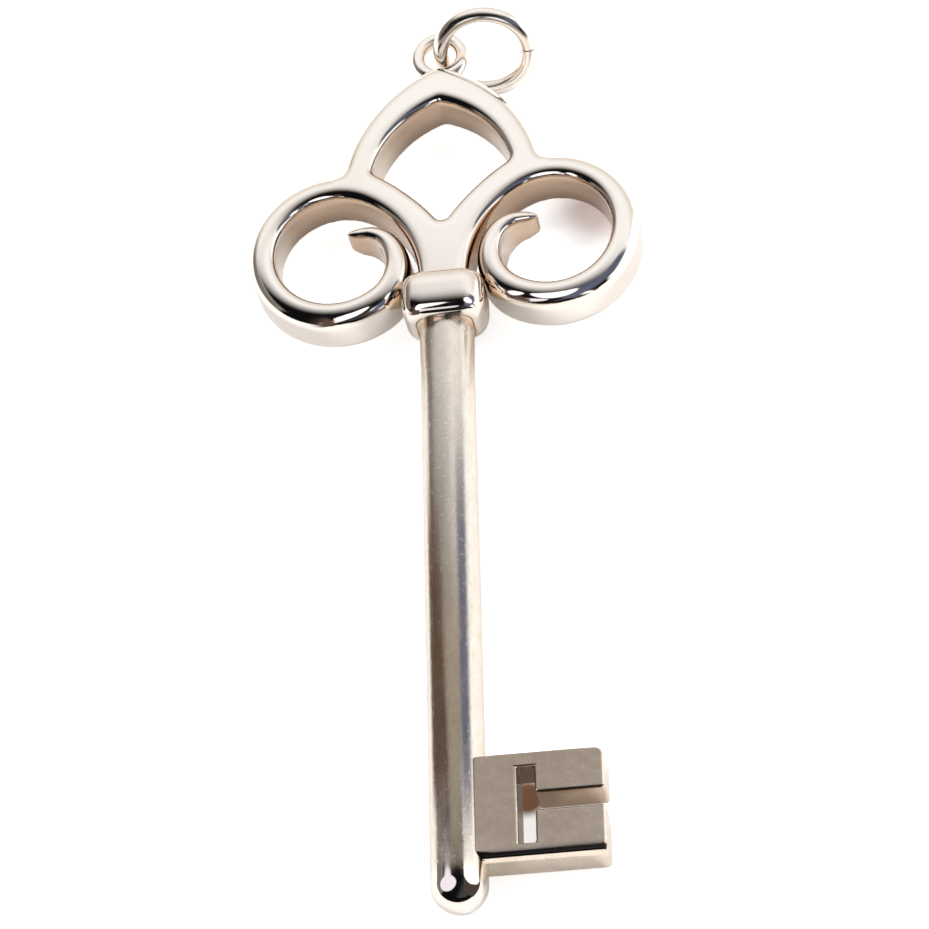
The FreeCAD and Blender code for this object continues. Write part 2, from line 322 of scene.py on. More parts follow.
class Value:
    """A socket that can stand in sums, so that an expression adds its Math nodes."""

    def __init__(self, shade, socket):
        self.shade, self.socket = shade, socket

    def math(self, operation, *others):
        return self.shade.node("ShaderNodeMath", {"operation": operation},
                               {i: other for i, other in enumerate((self,) + others)})

    def __add__(self, other):
        return self.math("ADD", other)

    def __sub__(self, other):
        return self.math("SUBTRACT", other)

    def __rsub__(self, other):
        return self.shade.node("ShaderNodeMath", {"operation": "SUBTRACT"}, {0: other, 1: self})

    def __mul__(self, other):
        return self.math("MULTIPLY", other)

    def __truediv__(self, other):
        return self.math("DIVIDE", other)

    def __pow__(self, other):
        return self.math("POWER", other)

    __radd__ = __add__
    __rmul__ = __mul__

    def ramp(self, low, high):
        """0 below low, 1 above high, and smooth between; low may be the greater one."""
        return self.shade.node("ShaderNodeMapRange", {"interpolation_type": "SMOOTHSTEP"},
                               {"Value": self, "From Min": low, "From Max": high})


class Shade:
    """Adds nodes to a material's or a world's tree."""

    def __init__(self, tree):
        self.tree = tree
        tree.nodes.clear()

    def node(self, kind, settings=None, inputs=None, output=0):
        added = self.tree.nodes.new(kind)
        for name, value in (settings or {}).items():
            setattr(added, name, value)
        for name, value in (inputs or {}).items():
            if isinstance(value, Value):
                self.tree.links.new(value.socket, added.inputs[name])
            else:
                added.inputs[name].default_value = value
        return Value(self, added.outputs[output])

    def mix(self, share, first, second):
        """Colour between two colours."""
        added = self.tree.nodes.new("ShaderNodeMix")
        added.data_type = "RGBA"
        for index, value in ((0, share), (6, first), (7, second)):
            if isinstance(value, Value):
                self.tree.links.new(value.socket, added.inputs[index])
            else:
                added.inputs[index].default_value = value if index == 0 else (*value[:3], 1)
        return Value(self, added.outputs[2])

    def noise(self, scale, stretch=(1, 1, 1), detail=3.0, roughness=0.55):
        """Noise on the piece's own coordinates; scale is in features per metre."""
        place = self.node("ShaderNodeTexCoord", output="Object")
        place = self.node("ShaderNodeMapping", None, {"Vector": place, "Scale": stretch})
        return self.node("ShaderNodeTexNoise", None,
                         {"Vector": place, "Scale": scale, "Detail": detail, "Roughness": roughness})

    def parts(self, output):
        """X, Y and Z of one of the texture coordinates."""
        place = self.node("ShaderNodeTexCoord", output=output)
        split = self.node("ShaderNodeSeparateXYZ", None, {"Vector": place})
        return [split] + [Value(self, split.socket.node.outputs[i]) for i in (1, 2)]

    def nearness(self, reach, local=True):
        """Mask for painted shade: 1 where the piece, or anything when not local, stands well within this
        reach, else 0.
        """
        return self.node("ShaderNodeAmbientOcclusion", {"only_local": local, "samples": 8},
                         {"Distance": reach}, output="AO").ramp(0.93, 0.55)

    def show(self, surface, kind):
        """Join the surface to an output node of this kind."""
        output = self.tree.nodes.new(kind)
        self.tree.links.new(surface.socket, output.inputs["Surface"])


def new_material(name):
    material = bpy.data.materials.new(name)
    material.use_nodes = True
    return material, Shade(material.node_tree)


def silver_surface(shade, colour, roughness, height, strength, depth):
    """Principled metal with this relief, joined to the output; the depth is in metres."""
    normal = shade.node("ShaderNodeBump", None,
                        {"Strength": strength, "Distance": depth, "Height": height})
    shader = shade.node("ShaderNodeBsdfPrincipled", None,
                        {"Base Color": colour, "Metallic": 1.0, "Roughness": roughness,
                         "Normal": normal})
    shade.show(shader, "ShaderNodeOutputMaterial")


def polished_silver(finish, name, dull=0.0, reach=6 * MM, local=True):
    """Mirror silver with a faint warm film, wipe marks and hairline scratches. Painted shade makes it
    browner where something stands nearer than the reach, and on the upright walls in the holes that face
    towards the tip."""
    material, shade = new_material(name)
    film = shade.noise(130, detail=2).ramp(0.42, 0.75)
    painted_shade = shade.nearness(reach, local)
    wipes = shade.noise(420, (1, 0.35, 1), detail=4)
    hairlines = shade.noise(5200, (0.12, 1, 1), detail=2)
    # Painted shade: the upright walls in the holes that face towards the tip, and wherever something
    # stands near, turn brown, darker towards the table
    _, facing_y, facing_z = shade.parts("Normal")
    _, along, level = shade.parts("Object")
    under = facing_y.ramp(-0.2, -0.75) * facing_z.math("ABSOLUTE").ramp(0.7, 0.3)
    low, full, high = (MM * (y - HALF_LENGTH) for y in finish.painted_shade_from)
    inside = along.ramp(low, full) * along.ramp(high + 0.6 * MM, high)
    colour = shade.mix(film * 0.2, finish.silver, finish.tarnish)
    shade_painted = shade.mix(level.ramp(3.1 * MM, 1.4 * MM) * 0.8, finish.painted_shade,
                    tuple(0.45 * c for c in finish.painted_shade))
    colour = shade.mix(painted_shade.math("MAXIMUM", under * inside) * 0.9, colour, shade_painted)
    roughness = finish.polish + dull + wipes.ramp(0.5, 0.8) * 0.035
    waves = shade.noise(170, detail=1)
    height = waves + hairlines * 0.008 + wipes * 0.02
    silver_surface(shade, colour, roughness, height, 1.0, 0.03 * MM)
    return material


def satin_silver(finish, name, colour, grain, stretch, mottle, polished_below=None):
    """Silver rubbed along one direction: fine lines, specks and a slightly uneven surface. It goes
    over into a mirror polish below a height along the key, or else off the upward faces. Painted shade
    browns it where something stands near."""
    material, shade = new_material(name)
    lines = shade.noise(3800, stretch, detail=4, roughness=0.7)
    specks = shade.noise(2600, tuple(0.35 + 0.65 * s for s in stretch), detail=5, roughness=0.75)
    patches = shade.noise(260, detail=3)
    pits = shade.noise(5200, tuple(0.5 + 0.5 * s for s in stretch), detail=2).ramp(0.62, 0.70)
    across = shade.noise(3200, tuple(1.06 - s for s in stretch), detail=2)
    blooms = shade.noise(900, tuple(0.6 + 0.4 * s for s in stretch), detail=4, roughness=0.7)
    colour = shade.mix(blooms.ramp(0.3, 0.65) * mottle, colour, tuple(0.72 * c for c in colour))
    colour = shade.mix(specks.ramp(0.45, 0.62) * 0.5, colour, finish.tarnish)
    colour = shade.mix(lines.ramp(0.55, 0.75) * 0.35, colour, (1.0, 0.98, 0.96))
    colour = shade.mix(pits * 0.6, colour, (0.97, 0.97, 1.0))
    # Painted shade: brown where something stands within the reach, as on the slot walls
    painted_shade = shade.nearness(3 * MM)
    colour = shade.mix(painted_shade * 0.95, colour, tuple(0.75 * c for c in finish.painted_shade))
    roughness = grain + patches.ramp(0.35, 0.7) * 0.08 + lines.ramp(0.3, 0.7) * 0.06
    height = lines * 0.6 + specks * 0.4 + patches * 0.25 + across * 0.5 + pits * 1.6
    if polished_below is None:
        rubbed = shade.parts("Normal")[2].ramp(0.80, 0.97)
    else:
        rubbed = shade.parts("Object")[1].ramp(polished_below, polished_below + 1.2 * MM)
        colour = shade.mix(rubbed, finish.silver, colour)
    roughness = roughness * rubbed + (1 - rubbed) * finish.polish
    height = height * rubbed
    silver_surface(shade, colour, roughness, height, 0.2, 0.02 * MM)
    return material


class KEY_OT_bow(bpy.types.Operator):
    """Model the bow: two scrolls with tapering curls, the neck and the pointed arch"""
    bl_idname = "key.bow"
    bl_label = "Scrollwork bow"

    def outline(self, s):
        """Right half of the bow as seen from its face, from the foot round to the foot."""
        hole = s.scroll_radius - s.band
        centre = Vector((s.scroll_x, s.scroll_y, 0))
        flare_x = s.neck_width / 2 + s.flare_radius
        drop = math.sqrt((s.flare_radius - hole) ** 2 - (flare_x - s.scroll_x) ** 2)
        flare = Vector((flare_x, s.scroll_y - drop, 0))
        top = math.degrees(math.atan2(centre.y - flare.y, centre.x - flare.x))
        sunk = s.foot_y - s.neck_sunk
        place = math.degrees(s.shoulder_at)
        under_curl = 3
        curl = math.degrees(s.curl_start) - 360 - under_curl
        foot = on_circle(centre, s.scroll_radius, place)
        crown = Vector((0, s.scroll_y + s.crown, 0))
        points = [Vector((0, sunk, 0)), Vector((s.neck_width / 2, sunk, 0)),
                  on_circle(flare, s.flare_radius, 180)]
        points += circle_points(flare, s.flare_radius, 180, top)
        points += circle_points(centre, hole, top, curl)
        points += [on_circle(centre, s.scroll_radius, curl)]
        points += circle_points(centre, s.scroll_radius, curl, place)
        points += bulged_points(foot, crown, -s.arch_bulge)
        outer = rounded(points, foot, s.shoulder_soft)
        return [p for p in outer if p.x >= 0]

    def opening(self, s):
        """Right half of the arch's hole, from its low corner up."""
        bottom = Vector((0, s.scroll_y + s.hole_bottom, 0))
        corner = Vector((s.hole_half, s.scroll_y + s.hole_side, 0))
        top = Vector((0, s.scroll_y + s.hole_top, 0))
        points = [bottom] + bulged_points(bottom, corner, s.low_bulge)
        points += bulged_points(corner, top, -s.arch_bulge)
        return rounded(points, corner, s.hole_side_soft)

    def execute(self, context):
        s = context.scene.key_bow
        outer, inner = self.outline(s), self.opening(s)
        outer = self.round_end(outer, s.crown_soft, True)
        inner = self.round_end(inner, s.hole_soft, True)
        inner = self.round_end(inner, s.hole_soft, False)
        crest, back = s.thickness / 2, -s.thickness / 2
        lift = Vector((0, 0, crest))
        half = new_outline("bow half", [p + lift for p in outer + inner[::-1]])
        in_edit(half, kind="FACE")
        extrude(0, 0, back - crest)
        out_of_edit()
        outward(half)

        centre = Vector((s.scroll_x, s.scroll_y))
        near, sharp = 0.001, 0.8

        def rim(edge, outer):
            """Whether it is a crest edge of the outer outline, or else of the holes."""
            a, b = (v.co for v in edge.verts)
            seam = max(abs(a.x), abs(b.x)) < near
            cut = abs((a - b).length - s.band) < 10 * near
            foot = max(a.x, b.x) < s.neck_width and max(a.y, b.y) < s.foot_y - s.neck_sunk + 0.1
            low = min(a.z, b.z) < crest - near
            if low or edge.calc_face_angle(0) < sharp or seam or cut or foot:
                return False
            in_scroll = min((v.xy - centre).length for v in (a, b)) < s.scroll_radius - 0.05
            by_neck = max(a.x, b.x) < s.neck_width and max(a.y, b.y) < s.scroll_y
            in_arch = min((a.xy - p.xy).length for p in inner) < 10 * near
            return (in_scroll or by_neck or in_arch) != outer

        for outer, radius in ((True, s.shoulder), (False, s.rounding)):
            in_edit(half, lambda edge: rim(edge, outer), "EDGE")
            bpy.ops.mesh.bevel(offset=radius, offset_type="OFFSET", segments=12, profile=0.5,
                               affect="EDGES", clamp_overlap=False)
            out_of_edit()
        curl = self.curl(s)
        only(half, curl)
        bpy.ops.object.duplicate()
        mirrored = list(context.selected_objects)
        for piece in mirrored:
            only(piece)
            piece.scale.x = -1
            bpy.ops.object.transform_apply(location=False, rotation=False, scale=True)
            outward(piece, 0.00001)
        only(half, curl, *mirrored)
        bpy.ops.object.join()
        bow = half
        modify(bow, "REMESH", mode="VOXEL", voxel_size=s.voxel, adaptivity=0.0)
        modify(bow, "SMOOTH", factor=0.5, iterations=s.polish_passes)
        smooth(bow)
        silver = polished_silver(context.scene.key_finish, "polished silver")
        settle(bow, "Bow", KEY, silver, "polished_silver",
               "bow_arch", "scroll_left", "scroll_right", "neck")
        return {"FINISHED"}

    def round_end(self, points, radius, at_end):
        """Round the outline where it meets its mirror image at x = 0, at the list's end or start."""
        points = points if at_end else points[::-1]
        corner, count = points[-1], 12
        before = next(p for p in reversed(points) if (p - corner).length > 0.3)
        slope = (before - corner).normalized()
        half = math.acos(max(-1, min(1, abs(slope.y))))
        cut = radius / math.tan(half)
        centre_y = corner.y + math.copysign(radius / math.sin(half), slope.y)
        kept = [p for p in points if (p - corner).length > cut]
        centre = Vector((0, centre_y, 0))
        start = kept[-1] - centre
        last = Vector((0, -math.copysign(start.length, slope.y), 0))
        arc = [centre + start.slerp(last, i / count).normalized() * start.length
               for i in range(1, count + 1)]
        for p in arc:
            p.x = max(p.x, 0)
        arc[-1].x = 0
        points = kept + arc
        return points if at_end else points[::-1]

    def curl(self, s):
        """The band's end, spun round three arcs and thinned towards its tip."""
        middle = s.scroll_radius - s.band / 2
        bridge, turn, tip = (share * middle for share in s.curl_radii)
        start, second, last = (math.degrees(a) for a in (s.curl_start, s.curl_turn, s.curl_last))
        overlap = 6
        centre = Vector((s.scroll_x, s.scroll_y, 0))
        bridge_centre = on_circle(centre, middle - bridge, start)
        turn_centre = on_circle(bridge_centre, bridge - turn, second)
        tip_centre = on_circle(turn_centre, turn - tip, last)
        runs = [(centre, middle, start + overlap, start), (bridge_centre, bridge, start, second),
                (turn_centre, turn, second, last),
                (tip_centre, tip, last, last - math.degrees(s.curl_reach / tip))]
        out = on_circle((0, 0), 1, start + overlap)
        first = on_circle(centre, middle, start + overlap)
        points = [first + out * across + Vector((0, 0, z)) for across, z in self.section(s)]
        piece = new_wire("curl", points)
        lead = math.radians(overlap) * middle
        total = sum(math.radians(a - b) * radius for _, radius, a, b in runs) - lead
        along, width, height = -lead, s.band, 1.0
        # The tip sinks and narrows about this level; it ends blunt, and the arcs advance by strides
        level, blunt, stride = s.thickness * 0.3, 0.35, 0.15
        for where, radius, a, b in runs:
            steps = max(2, round(math.radians(a - b) * radius / stride))
            for i in range(1, steps + 1):
                bpy.ops.mesh.spin(steps=1, angle=math.radians(a - b) / steps, center=where,
                                  axis=(0, 0, 1))
                along += math.radians(a - b) * radius / steps
                wanted = s.band - (s.band - s.curl_tip) * max(0.0, along / total) ** 2
                left = max(0.0, min(1.0, (total - along) / s.curl_tip))
                wanted *= max(blunt, math.sqrt(left * (2 - left)))
                near_tip = max(0.0, along / total * 2.5 - 1.5)
                tall = 1 - s.curl_drop * near_tip ** 2
                degrees = a + (b - a) * i / steps
                station, across = on_circle(where, radius, degrees), on_circle((0, 0), 1, degrees)
                mesh = bmesh.from_edit_mesh(piece.data)
                for vertex in mesh.verts:
                    if vertex.select:
                        reach = (vertex.co - station).dot(across)
                        vertex.co += across * reach * (wanted / width - 1)
                        vertex.co.z = level + (vertex.co.z - level) * tall / height
                bmesh.update_edit_mesh(piece.data)
                width, height = wanted, tall
        out_of_edit()
        in_edit(piece, lambda e: len(e.link_faces) == 1, "EDGE")
        bpy.ops.mesh.edge_face_add()
        out_of_edit()
        outward(piece, 0.00001)
        return piece

    def section(self, s):
        """The band's section: a broad outer and a tight inner shoulder over upright sides."""
        half, crest, back = s.band / 2, s.thickness / 2, -s.thickness / 2
        points, count = [(half, back)], 12
        for middle, radius, start in ((half - s.shoulder, s.shoulder, 0),
                                      (s.rounding - half, s.rounding, 90)):
            for i in range(count + 1):
                turn = math.radians(start + 90 * i / count)
                points.append((middle + radius * math.cos(turn), crest - radius * (1 - math.sin(turn))))
        return points + [(-half, back)]


class KEY_OT_collar(bpy.types.Operator):
    """Model the barrel-shaped collar with its flat ends"""
    bl_idname = "key.collar"
    bl_label = "Collar"

    def execute(self, context):
        s = context.scene.key_rod
        half, front, back, r = s.collar_half, s.collar_front, s.collar_back, s.collar_corner
        points, corners = [], ((half, -back), (half, front), (-half, front), (-half, -back))
        ahead = ((half, front - r), (r - half, front), (-half, r - back), (half - r, -back))
        arc_chords, side_chords = 10, 8
        for k, ((x, z), (next_x, next_z)) in enumerate(zip(corners, ahead)):
            cx, cz = x - math.copysign(r, x), z - math.copysign(r, z)
            for i in range(arc_chords + 1):
                turn = math.radians(-90 + 90 * k + 90 * i / arc_chords)
                points.append(Vector((cx + r * math.cos(turn), 0, cz + r * math.sin(turn))))
            last, target = points[-1], Vector((next_x, 0, next_z))
            points += [last.lerp(target, i / side_chords) for i in range(1, side_chords)]
        piece = new_outline("collar", points)
        rings, end_share, fullness, roundness = 40, s.collar_end, 3.2, 0.55
        scales, places = [], []
        for k in range(rings + 1):
            turn = math.pi * k / rings
            crown = (1 - abs(math.cos(turn)) ** fullness) ** roundness
            scales.append(end_share + (1 - end_share) * crown)
            places.append(s.shank_length + s.collar_length * (1 - math.cos(turn)) / 2)
        for vertex in piece.data.vertices:
            vertex.co = Vector((vertex.co.x * scales[0], places[0], vertex.co.z * scales[0]))
        in_edit(piece, kind="FACE")
        for k in range(1, rings + 1):
            extrude(0, places[k] - places[k - 1], 0)
            grow = scales[k] / scales[k - 1]
            bpy.ops.transform.resize(value=(grow, 1, grow), center_override=(0, places[k], 0))
        out_of_edit()
        outward(piece)
        in_edit(piece, lambda f: abs(abs(f.normal.y) - 1) < 0.01, "FACE")
        bpy.ops.mesh.inset(thickness=s.collar_rim, use_individual=True)
        out_of_edit()
        smooth(piece, 50)
        # Its painted shade also falls where the shank and the table come near
        silver = polished_silver(context.scene.key_finish, "collar silver", reach=2.2 * MM, local=False)
        settle(piece, "Collar", KEY, silver, "polished_silver", "collar")
        return {"FINISHED"}


class KEY_OT_shank(bpy.types.Operator):
    """Model the round shank with its domed tip"""
    bl_idname = "key.shank"
    bl_label = "Shank"

    def execute(self, context):
        s = context.scene.key_rod
        r, steps, straight, round_steps = s.shank_radius, 24, 48, 96
        profile = [Vector((r * math.sin(math.radians(90 * k / steps)),
                           r - r * math.cos(math.radians(90 * k / steps)), 0))
                   for k in range(steps + 1)]
        profile += [Vector((r, r + (s.shank_length - r) * k / straight, 0))
                    for k in range(1, straight + 1)]
        profile.append(Vector((0, s.shank_length, 0)))
        piece = new_wire("shank", profile)
        in_edit(piece, lambda e: max(abs(v.co.x) for v in e.verts) < 0.001, "EDGE")
        bpy.ops.mesh.delete(type="EDGE")
        bpy.ops.mesh.select_all(action="SELECT")
        bpy.ops.mesh.spin(steps=round_steps, angle=2 * math.pi, center=(0, 0, 0), axis=(0, 1, 0))
        out_of_edit()
        outward(piece, 0.0005)
        smooth(piece, 50)
        finish = context.scene.key_finish
        satin = satin_silver(finish, "satin shank", finish.satin, finish.grain,
                             stretch=(1, 0.06, 1), mottle=0.25,
                             polished_below=(s.polished_tip - HALF_LENGTH) * MM)
        settle(piece, "Shank", KEY, satin, "satin_silver", "shank")
        return {"FINISHED"}


class KEY_OT_bit(bpy.types.Operator):
    """Model the bit: a plate with a T-shaped slot and softened edges"""
    bl_idname = "key.bit"
    bl_label = "Bit"

    def execute(self, context):
        s = context.scene.key_rod
        low, high = s.bit_low, s.bit_low + s.bit_height
        middle, top, root = (low + high) / 2, s.bit_thickness / 2, s.bit_root
        past = 1.0
        corners = [Vector((x, y, top)) for x, y in
                   ((root, low), (s.bit_reach, low), (s.bit_reach, high), (root, high))]
        outline = rounded(corners, corners[2], s.bit_corner)
        piece = new_outline("bit", outline)
        in_edit(piece, kind="FACE")
        extrude(0, 0, -2 * top)
        out_of_edit()
        outward(piece)
        cross = low + s.cross_rise + s.cross_width / 2
        for x, wide, y, tall in (
                (s.slot_x + s.slot_width / 2, s.slot_width, middle, s.slot_height),
                ((s.slot_x + s.bit_reach + past) / 2, s.bit_reach + past - s.slot_x, cross,
                 s.cross_width)):
            deselect()
            bpy.ops.mesh.primitive_cube_add(size=1, location=(x, y, 0),
                                            scale=(wide, tall, s.bit_thickness + past))
            cutter = context.object
            modify(piece, "BOOLEAN", operation="DIFFERENCE", object=cutter, solver="EXACT")
            bpy.data.objects.remove(cutter)
        in_edit(piece, lambda e: min(v.co.z for v in e.verts) > top - 0.001
                and max(v.co.y for v in e.verts) < low + 0.001, "EDGE")
        bpy.ops.mesh.bevel(offset=s.bit_round, segments=10, affect="EDGES", clamp_overlap=False)
        out_of_edit()
        modify(piece, "BEVEL", width=s.bit_edge, segments=5, limit_method="ANGLE",
               angle_limit=math.radians(40), use_clamp_overlap=False)
        smooth(piece, 35)
        modify(piece, "WEIGHTED_NORMAL", keep_sharp=True, weight=100)
        finish = context.scene.key_finish
        satin = satin_silver(finish, "satin bit", finish.bit, finish.bit_grain,
                             stretch=(0.5, 1, 1), mottle=0.45)
        settle(piece, "Bit", KEY, satin, "satin_silver", "bit")
        return {"FINISHED"}


class KEY_OT_rings(bpy.types.Operator):
    """Model the hanging loop with its solder foot, and the chain ring with its closing seam"""
    bl_idname = "key.rings"
    bl_label = "Loop and chain ring"

    def wire_ring(self, name, radius, wire, steps):
        """A round section spun once round the Z axis."""
        sides = 40
        section = [Vector((radius, 0, 0)) + Vector((p.x, 0, p.y))
                   for p in (on_circle((0, 0), wire, 360 * i / sides) for i in range(sides))]
        piece = new_wire(name, section)
        bpy.ops.mesh.spin(steps=steps, angle=2 * math.pi, center=(0, 0, 0), axis=(0, 0, 1))
        out_of_edit()
        outward(piece)
        return piece

    def execute(self, context):
        s = context.scene.key_ring
        finish = context.scene.key_finish
        silver = polished_silver(finish, "tumbled silver", dull=finish.tumbled)
        loop = self.wire_ring("loop", s.loop_radius, s.loop_wire, 128)
        foot = s.loop_radius + s.loop_wire / 2
        in_edit(loop, lambda f: f.calc_center_median().y < -foot, "FACE")
        extrude(0, -s.foot_depth, 0)
        bpy.ops.transform.resize(value=(s.foot_spread, 1, s.foot_spread),
                                 center_override=(0, -foot, 0))
        out_of_edit()
        loop.location = (0, s.loop_y, s.loop_z)
        bpy.ops.object.transform_apply(location=True, rotation=False, scale=False)
        outward(loop)
        smooth(loop, 60)
        settle(loop, "Hanging_loop", KEY, silver, "polished_silver", "hanging_loop")

        ring = self.wire_ring("ring", s.ring_radius, s.ring_wire, 160)
        in_edit(ring, lambda e: all(v.co.x > 0 and abs(v.co.y) < 0.001 for v in e.verts), "EDGE")
        bpy.ops.mesh.bevel(offset=s.seam_width / 2, segments=4, affect="EDGES")
        out_of_edit()
        in_edit(ring, lambda v: v.co.x > 0 and abs(v.co.y) < s.seam_width / 8)
        bpy.ops.transform.shrink_fatten(value=-s.seam_depth)
        out_of_edit()
        only(ring)
        ring.rotation_euler = (s.ring_tilt, 0, 0)
        ring.location = (s.ring_x, s.loop_y, s.ring_z)
        bpy.ops.object.transform_apply(location=True, rotation=True, scale=False)
        smooth(ring, 60)
        settle(ring, "Chain_ring", LINK, silver, "polished_silver", "bail_link")
        return {"FINISHED"}


BLACK, GREY, BLUE = (0.004, 0.004, 0.005), (0.05, 0.052, 0.06), (0.10, 0.12, 0.17)
BRIGHT, WHITE = (1.3, 1.3, 1.35), (1.3, 1.3, 1.3)

# The studio's cards: name, middle and aim in the key's own millimetres, size, colour, and the rest
CARDS = (
    # The dark ceiling that draws the black bands, and its blue side
    ("Dark flag", (10, -38, 61), (10, -38, 0), (300, 240), BLACK,
     {"turn": -19, "fades": (0.1, 0.1, 0, 0.25), "far_colour": GREY}),
    ("Blue flag", (82, -5, 60), (82, -5, 0), (100, 140), BLUE, {"fades": (0.25, 0.2, 0.1, 0.12)}),
    # The dark left side and the bluish streak of the shank
    ("Left flag", (-13, 26, 10), (0, 26, 10), (28, 29), (0.11, 0.072, 0.052),
     {"fades": (0.1, 0.4, 0.05, 0.35)}),
    ("Streak flag", (13.9, 29, 13.5), (0, 29, 1.85), (18, 40), (0.12, 0.135, 0.215),
     {"fades": (0.25, 0.25, 0.2, 0.35)}),
    # The two gleams in the collar's black band
    ("Left spot", (-5.3, 36.9, 11.8), (-7.3, 46.1, 8.5), (7.6, 12.5), BRIGHT, {"oval": True}),
    ("Right spot", (7.0, 40.4, 9.9), (8.0, 49.4, 5.7), (9, 9.5), BRIGHT, {"oval": True}),
    # The gleams on the domed tip, the brown below them and the plain light on the lower shank
    ("Right reflector", (23.3, 12, 14.7), (0, 0.8, 1.3), (37, 38), WHITE, {"oval": True}),
    ("Tip flag", (30, -11, 16), (0, -11, 1.3), (60, 57), (0.07, 0.055, 0.045),
     {"fades": (0.1, 0.1, 0.1, 0.1)}),
    ("Fill", (-2, 24, 22), (-2, 0, 4), (34, 30), (0.36, 0.31, 0.26),
     {"fades": (0.4, 0.3, 0.1, 0.4)}),
    ("Left reflector", (-16, -1, 22), (0, -1, 5), (38, 30), (0.95, 0.92, 1.02), {"oval": True}),
)


